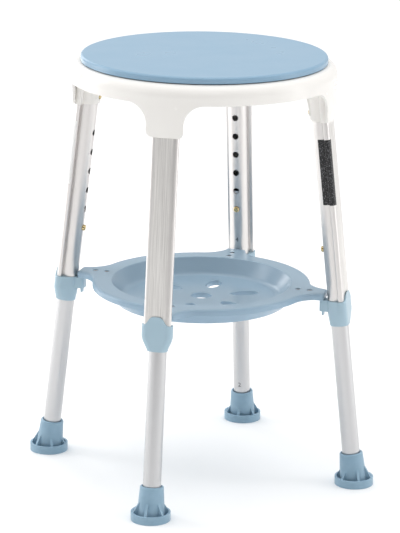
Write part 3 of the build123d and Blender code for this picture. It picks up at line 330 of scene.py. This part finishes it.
turned_brass = plated_metal("turned_brass", "#D8C79C", "#C4AE7C", 0.22, 3 * MM)
zinc_steel = plated_metal("zinc_plated_steel", "#CFCFD0", "#B9BABC", 0.28, 4 * MM)
blued_steel = plated_metal("blued_spring_steel", "#6E7078", "#54565E", 0.35, 5 * MM)
dress([f"{corner}_{piece}" for corner in CORNERS for piece in ("leg_button", "socket_button")],
      turned_brass)
dress([f"{corner}_{piece}" for corner in CORNERS for piece in ("leg_spring", "socket_spring")],
      blued_steel)
dress(["bearing_balls", "pivot_bolt", "pivot_washer"]
      + [f"{corner}_foot_washer" for corner in CORNERS], zinc_steel)

# %% [markdown]
# ## Labels
# One leg carries a black film label and another a white one. On the real stool they hold small
# print. Here the black one has only rows of short pale dashes that stand for print, and no letters.
# The rows are made from the leg's own coordinates: a wave across the leg draws the rows, and a noise
# along the leg breaks them into words.

# %% Labels
ROW_PITCH = 1.5 * MM
ROW_SHARE = 0.45  # height of the print as a share of the row
WORD = 2.2 * MM


def film_label(name, film, print_colour, print_share, corner):
    """Printed film; print_share is how much of each row is printed, 0 for a plain film."""
    material, tree, output = new_material(name)
    lines, plain = along_leg(tree, corner, ROW_PITCH, WORD)
    split = put(tree, "ShaderNodeSeparateXYZ", {"Vector": lines})
    round_corner = put(tree, "ShaderNodeMath", {0: split.outputs["Y"], 1: split.outputs["X"]},
                       operation="ADD")
    row = put(tree, "ShaderNodeMath", {0: round_corner.outputs[0]}, operation="FRACT")
    printed_row = put(tree, "ShaderNodeMath", {0: row.outputs[0], 1: ROW_SHARE},
                      operation="LESS_THAN")
    words = put(tree, "ShaderNodeTexNoise", {"Vector": lines, "Scale": 1.3, "Detail": 1.0})
    printed_word = put(tree, "ShaderNodeMath", {0: words.outputs["Fac"], 1: 1 - print_share},
                       operation="GREATER_THAN")
    ink = put(tree, "ShaderNodeMath", {0: printed_row.outputs[0], 1: printed_word.outputs[0]},
              operation="MULTIPLY")
    tone = put(tree, "ShaderNodeMix", {"Factor": ink.outputs[0]}, data_type="RGBA")
    tone.inputs[6].default_value = paint(film)
    tone.inputs[7].default_value = paint(print_colour)
    shader = put(tree, "ShaderNodeBsdfPrincipled", {"Base Color": tone.outputs[2],
                                                    "Roughness": 0.38, "IOR": 1.5})
    tree.links.new(shader.outputs["BSDF"], output.inputs["Surface"])
    return material


dress(["black_label"], film_label("printed_black_film", "#111114", "#7C7C80", 0.42, "front_right"))
dress(["white_label"], film_label("printed_white_film", "#F1F1F0", "#D8D8D8", 0.10, "back_left"))

# %% [markdown]
# ## Screws on the tray's arms
# Each arm is held to its hook by two small pan-head screws that sit in round recesses. The CAD model
# has plain heads; screws of this kind usually have a domed head with a cross recess. They repeat
# around the tray, so a Geometry Nodes tree makes one screw, cuts its cross, and sets a copy on every
# arm at two distances from the middle. The outer distance comes from the CAD screws' box, and the
# inner one is a fixed spacing nearer, so that the new screws land in the recesses.

# %% Screws with a cross recess
screw_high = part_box("tray_screws")[1]
SCREW_HEAD_RADIUS = 3.3 * MM
SCREW_HEAD_HEIGHT = 1.2 * MM
SCREW_SPACING = 15 * MM
CROSS_LENGTH = 3.6 * MM
CROSS_WIDTH = 0.9 * MM
CROSS_DEPTH = 0.8 * MM
DOME = 0.55  # share of the head's height that its rim sinks
ARM_ANGLE = radians(45)
ARM_COUNT = 4
screw_outer = (screw_high.x - SCREW_HEAD_RADIUS) / cos(ARM_ANGLE)
print("outer screws at", round(screw_outer / MM, 2), "mm, heads up to", round(screw_high.z, 4))


def tree_input(tree, name, kind, default):
    """A named input of a Geometry Nodes tree."""
    socket = tree.interface.new_socket(name, in_out="INPUT", socket_type=kind)
    if kind != "NodeSocketMaterial":
        socket.default_value = default
    return socket


def grow(name, tree, values, material):
    """Run a tree on an empty mesh and keep the result as a plain mesh object."""
    carrier = bpy.data.objects.new(f"{name}_carrier", bpy.data.meshes.new(f"{name}_carrier"))
    bpy.context.scene.collection.objects.link(carrier)
    modifier = carrier.modifiers.new("grow", "NODES")
    modifier.node_group = tree
    for item in tree.interface.items_tree:
        if item.item_type == "SOCKET" and item.in_out == "INPUT" and item.name in values:
            modifier[item.identifier] = values[item.name]
    bpy.context.view_layer.update()
    evaluated = carrier.evaluated_get(bpy.context.evaluated_depsgraph_get())
    mesh = bpy.data.meshes.new_from_object(evaluated)
    mesh.name = name
    carrier.modifiers.remove(modifier)
    bpy.data.objects.remove(carrier)
    piece = bpy.data.objects.new(name, mesh)
    bpy.context.scene.collection.objects.link(piece)
    if not mesh.materials:
        mesh.materials.append(material)
    print(name, len(mesh.polygons), "faces")
    return piece


def screw_tree():
    """One pan-head screw with a cross recess, copied to every arm at two distances."""
    tree = bpy.data.node_groups.new("arm_screws", "GeometryNodeTree")
    tree_input(tree, "Outer distance", "NodeSocketFloat", 0.14)
    tree_input(tree, "Spacing", "NodeSocketFloat", 0.015)
    tree_input(tree, "Height", "NodeSocketFloat", 0.24)
    tree_input(tree, "Arms", "NodeSocketInt", 4)
    tree_input(tree, "Material", "NodeSocketMaterial", None)
    tree.interface.new_socket("Geometry", in_out="OUTPUT", socket_type="NodeSocketGeometry")
    start = put(tree, "NodeGroupInput")
    # the head: a low cylinder whose top is domed
    head = put(tree, "GeometryNodeMeshCylinder", {"Vertices": 40, "Side Segments": 1,
                                                  "Fill Segments": 4, "Radius": SCREW_HEAD_RADIUS,
                                                  "Depth": SCREW_HEAD_HEIGHT})
    place = put(tree, "GeometryNodeInputPosition")
    parts = put(tree, "ShaderNodeSeparateXYZ", {"Vector": place.outputs[0]})
    flat = put(tree, "ShaderNodeCombineXYZ", {"X": parts.outputs["X"], "Y": parts.outputs["Y"]})
    reach = put(tree, "ShaderNodeVectorMath", {0: flat.outputs[0]}, operation="LENGTH")
    share = put(tree, "ShaderNodeMath", {0: reach.outputs["Value"], 1: SCREW_HEAD_RADIUS},
                operation="DIVIDE")
    squared = put(tree, "ShaderNodeMath", {0: share.outputs[0], 1: 2.0}, operation="POWER")
    sink = put(tree, "ShaderNodeMath", {0: squared.outputs[0], 1: -DOME * SCREW_HEAD_HEIGHT},
               operation="MULTIPLY")
    top = put(tree, "FunctionNodeCompare", {"A": parts.outputs["Z"], "B": 0.0},
              operation="GREATER_THAN")
    drop = put(tree, "ShaderNodeCombineXYZ", {"Z": sink.outputs[0]})
    domed = put(tree, "GeometryNodeSetPosition", {"Geometry": head.outputs["Mesh"],
                                                  "Selection": top.outputs[0],
                                                  "Offset": drop.outputs[0]})
    # the cross: two bars cut from the top
    bar = put(tree, "GeometryNodeMeshCube", {"Size": (CROSS_LENGTH, CROSS_WIDTH,
                                                      2 * CROSS_DEPTH)})
    second = put(tree, "GeometryNodeTransform", {"Geometry": bar.outputs["Mesh"],
                                                 "Rotation": (0, 0, radians(90))})
    middle = SCREW_HEAD_HEIGHT / 2
    lifted = put(tree, "GeometryNodeTransform", {"Geometry": bar.outputs["Mesh"],
                                                 "Translation": (0, 0, middle)})
    lifted_second = put(tree, "GeometryNodeTransform", {"Geometry": second.outputs[0],
                                                        "Translation": (0, 0, middle)})
    once = put(tree, "GeometryNodeMeshBoolean", {"Mesh 1": domed.outputs[0],
                                                 "Mesh 2": lifted.outputs[0]},
               operation="DIFFERENCE", solver="EXACT")
    cut = put(tree, "GeometryNodeMeshBoolean", {"Mesh 1": once.outputs["Mesh"],
                                                "Mesh 2": lifted_second.outputs[0]},
              operation="DIFFERENCE", solver="EXACT")
    # the places: a circle of points at each distance, turned onto the arms
    inner = put(tree, "ShaderNodeMath", {0: start.outputs["Outer distance"],
                                         1: start.outputs["Spacing"]}, operation="SUBTRACT")
    outer_ring = put(tree, "GeometryNodeMeshCircle", {"Vertices": start.outputs["Arms"],
                                                      "Radius": start.outputs["Outer distance"]})
    inner_ring = put(tree, "GeometryNodeMeshCircle", {"Vertices": start.outputs["Arms"],
                                                      "Radius": inner.outputs[0]})
    rings = put(tree, "GeometryNodeJoinGeometry")
    tree.links.new(outer_ring.outputs["Mesh"], rings.inputs[0])
    tree.links.new(inner_ring.outputs["Mesh"], rings.inputs[0])
    height = put(tree, "ShaderNodeCombineXYZ", {"Z": start.outputs["Height"]})
    raised = put(tree, "GeometryNodeTransform", {"Geometry": rings.outputs[0],
                                                 "Translation": height.outputs[0],
                                                 "Rotation": (0, 0, ARM_ANGLE)})
    turned = put(tree, "FunctionNodeRandomValue", {"Seed": 7}, data_type="FLOAT")
    turned.inputs[2].default_value = 0.0
    turned.inputs[3].default_value = radians(90)
    spin = put(tree, "ShaderNodeCombineXYZ", {"Z": turned.outputs[1]})
    screws = put(tree, "GeometryNodeInstanceOnPoints", {"Points": raised.outputs[0],
                                                        "Instance": cut.outputs["Mesh"],
                                                        "Rotation": spin.outputs[0]})
    real = put(tree, "GeometryNodeRealizeInstances", {"Geometry": screws.outputs[0]})
    finished = put(tree, "GeometryNodeSetMaterial", {"Geometry": real.outputs[0],
                                                     "Material": start.outputs["Material"]})
    end = put(tree, "NodeGroupOutput")
    tree.links.new(finished.outputs[0], end.inputs["Geometry"])
    return tree


arm_screws = grow("arm_screws", screw_tree(),
                  {"Outer distance": screw_outer, "Spacing": SCREW_SPACING,
                   "Height": screw_high.z - SCREW_HEAD_HEIGHT / 2, "Arms": ARM_COUNT,
                   "Material": zinc_steel}, zinc_steel)
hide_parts("tray_screws")
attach(arm_screws, "frame")

# %% [markdown]
# ## Height numbers
# Legs like these are marked with small printed numbers so that all four can be set to the same hole.
# A text object is the quick way to get a figure's outline. It is made a mesh, wrapped round the tube
# by turning its flat X into an angle, and set a hair's breadth proud of the metal. The flat figure is
# first cut into narrow upright slices, because only a face's corners bend.

# %% Numbers on the back leg
pad_ink, tree, output = new_material("pad_printing_ink")
shader = put(tree, "ShaderNodeBsdfPrincipled", {"Base Color": paint("#2E2E32"), "Roughness": 0.5,
                                                "IOR": 1.5})
tree.links.new(shader.outputs["BSDF"], output.inputs["Surface"])
INK = 0.05 * MM
NUMBER_HEIGHT = 6.0 * MM
FIGURE_SHARE = 0.72  # height of a figure as a share of the font's size
SLICES = 12


def printed_number(name, figure, corner, radius, along, body):
    """A figure printed on the inner side of a leg of that radius, at a distance up the leg."""
    curve = bpy.data.curves.new(name, "FONT")
    curve.body = figure
    curve.size = NUMBER_HEIGHT / FIGURE_SHARE
    curve.align_x = "CENTER"
    curve.align_y = "CENTER"
    curve.extrude = INK / 2
    curve.resolution_u = 4
    text = bpy.data.objects.new(f"{name}_text", curve)
    bpy.context.scene.collection.objects.link(text)
    bpy.context.view_layer.update()
    mesh = bpy.data.meshes.new_from_object(
        text.evaluated_get(bpy.context.evaluated_depsgraph_get()))
    bpy.data.objects.remove(text)
    cutter = bmesh.new()
    cutter.from_mesh(mesh)
    half = max(abs(vertex.co.x) for vertex in cutter.verts)
    for step in range(1, SLICES):
        cut_at = (2 * step / SLICES - 1) * half
        bmesh.ops.bisect_plane(cutter, geom=cutter.verts[:] + cutter.edges[:] + cutter.faces[:],
                               plane_co=(cut_at, 0, 0), plane_no=(1, 0, 0))
    cutter.to_mesh(mesh)
    cutter.free()
    foot, turn = leg_axes(corner)
    for vertex in mesh.vertices:
        x, y, z = vertex.co
        reach = radius + INK / 2 + z
        bend = x / radius
        own = Vector((-reach * cos(bend), -reach * sin(bend), along + y))
        vertex.co = foot + turn @ own
    mesh.name = name
    mesh.materials.clear()
    mesh.materials.append(pad_ink)
    piece = bpy.data.objects.new(name, mesh)
    bpy.context.scene.collection.objects.link(piece)
    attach(piece, body)
    print(name, len(mesh.polygons), "faces")


TUBE_RADIUS = 11.0 * MM
TUBE_NUMBER_AT = 53 * MM
LEG_BACK_RADIUS = 12.33 * MM
LEG_NUMBER_AT = 262 * MM
printed_number("number_on_tube", "2", "back_right", TUBE_RADIUS, TUBE_NUMBER_AT,
               "back_right_leg")
printed_number("number_on_leg", "4", "back_right", LEG_BACK_RADIUS, LEG_NUMBER_AT, "frame")

# %% [markdown]
# ## Floor
# A plain pale floor catches the soft shadows of the feet. It is much larger than the stool, so that
# it fills the background from every side.

# %% Floor
FLOOR_HALF = 14.0
floor_mesh = bpy.data.meshes.new("floor")
floor_mesh.from_pydata([(-FLOOR_HALF, -FLOOR_HALF, 0), (FLOOR_HALF, -FLOOR_HALF, 0),
                        (FLOOR_HALF, FLOOR_HALF, 0), (-FLOOR_HALF, FLOOR_HALF, 0)], [],
                       [(0, 1, 2, 3)])
floor = bpy.data.objects.new("floor", floor_mesh)
bpy.context.scene.collection.objects.link(floor)
floor_paint, tree, output = new_material("pale_studio_floor")
shader = put(tree, "ShaderNodeBsdfPrincipled", {"Base Color": paint("#FAFAFA"), "Roughness": 0.9,
                                                "Specular IOR Level": 0.0})
tree.links.new(shader.outputs["BSDF"], output.inputs["Surface"])
floor_mesh.materials.append(floor_paint)

# %% [markdown]
# ## Camera
# A long lens far away keeps the legs nearly parallel. The camera's own Z axis points from the stool
# to the camera; its X axis is level, apart from a roll of under a degree.

# %% Camera
CAMERA_PLACE = Vector((-1.5710, -2.8887, 1.1675))
CAMERA_BACK = Vector((-0.460183, -0.847407, 0.264817))
CAMERA_ROLL = radians(0.772)
right = Vector((0, 0, 1)).cross(CAMERA_BACK).normalized()
camera_turn = Matrix((right, CAMERA_BACK.cross(right), CAMERA_BACK)).transposed()
camera_turn = camera_turn @ Matrix.Rotation(CAMERA_ROLL, 3, "Z")
lens = bpy.data.cameras.new("camera")
lens.sensor_width = 36
lens.lens = 183.38
lens.clip_end = 100
camera = bpy.data.objects.new("camera", lens)
camera.matrix_world = Matrix.Translation(CAMERA_PLACE) @ camera_turn.to_4x4()
bpy.context.scene.collection.objects.link(camera)
bpy.context.scene.camera = camera

# %% [markdown]
# ## Light
# The stool stands in a studio: a pale grey room, a tall softbox on each side, one behind and one
# high in front. Round metal shows mostly what it reflects, so the room is darker on
# the camera's side, which draws the grey band down the middle of each tube between two white ones.
# The ceiling is the brightest part, so that the floor stays white far behind the stool.

# %% Room and softboxes
ROOM_GLOW = 0.68
CEILING_GLOW = 2.15
CEILING_FROM = 0.55  # upward share of a direction at which the ceiling begins
AIM = Vector((0, 0, 0.3))
world = bpy.data.worlds.new("room")
bpy.context.scene.world = world
world.use_nodes = True
tree = world.node_tree
tree.nodes.clear()
facing = Vector((CAMERA_BACK.x, CAMERA_BACK.y, 0)).normalized()
ray = put(tree, "ShaderNodeTexCoord")
toward = put(tree, "ShaderNodeVectorMath", {0: ray.outputs["Generated"], 1: facing},
             operation="DOT_PRODUCT")
room = put(tree, "ShaderNodeValToRGB", {"Fac": toward.outputs["Value"]})
room.color_ramp.elements[0].position = 0.30
room.color_ramp.elements[0].color = (1.0, 1.0, 1.0, 1)
room.color_ramp.elements[1].position = 0.85
room.color_ramp.elements[1].color = (0.20, 0.20, 0.20, 1)
height = put(tree, "ShaderNodeSeparateXYZ", {"Vector": ray.outputs["Generated"]})
ceiling = put(tree, "ShaderNodeMapRange", {"Value": height.outputs["Z"],
                                           "From Min": CEILING_FROM, "From Max": 1.0,
                                           "To Min": ROOM_GLOW, "To Max": CEILING_GLOW})
glow = put(tree, "ShaderNodeBackground", {"Color": room.outputs["Color"],
                                          "Strength": ceiling.outputs["Result"]})
put(tree, "ShaderNodeOutputWorld", {"Surface": glow.outputs["Background"]})


def softbox(name, azimuth, height, distance, size, power):
    """A large area light that looks at the middle of the stool."""
    lamp = bpy.data.lights.new(name, "AREA")
    lamp.shape = "RECTANGLE"
    lamp.size, lamp.size_y = size
    lamp.energy = power
    light = bpy.data.objects.new(name, lamp)
    angle = radians(azimuth)
    light.location = (distance * cos(angle), distance * sin(angle), height)
    light.rotation_euler = (AIM - light.location).to_track_quat("-Z", "Y").to_euler()
    light.visible_camera = False
    bpy.context.scene.collection.objects.link(light)


softbox("softbox_left", azimuth=134, height=0.8, distance=1.7, size=(0.6, 1.6), power=8)
softbox("softbox_front", azimuth=238, height=2.4, distance=2.2, size=(1.8, 1.2), power=6)
softbox("softbox_right", azimuth=-34, height=0.8, distance=1.8, size=(0.5, 1.6), power=5)
softbox("softbox_behind", azimuth=92, height=0.8, distance=1.8, size=(0.4, 1.5), power=5)
bpy.context.scene.view_settings.view_transform = "Standard"
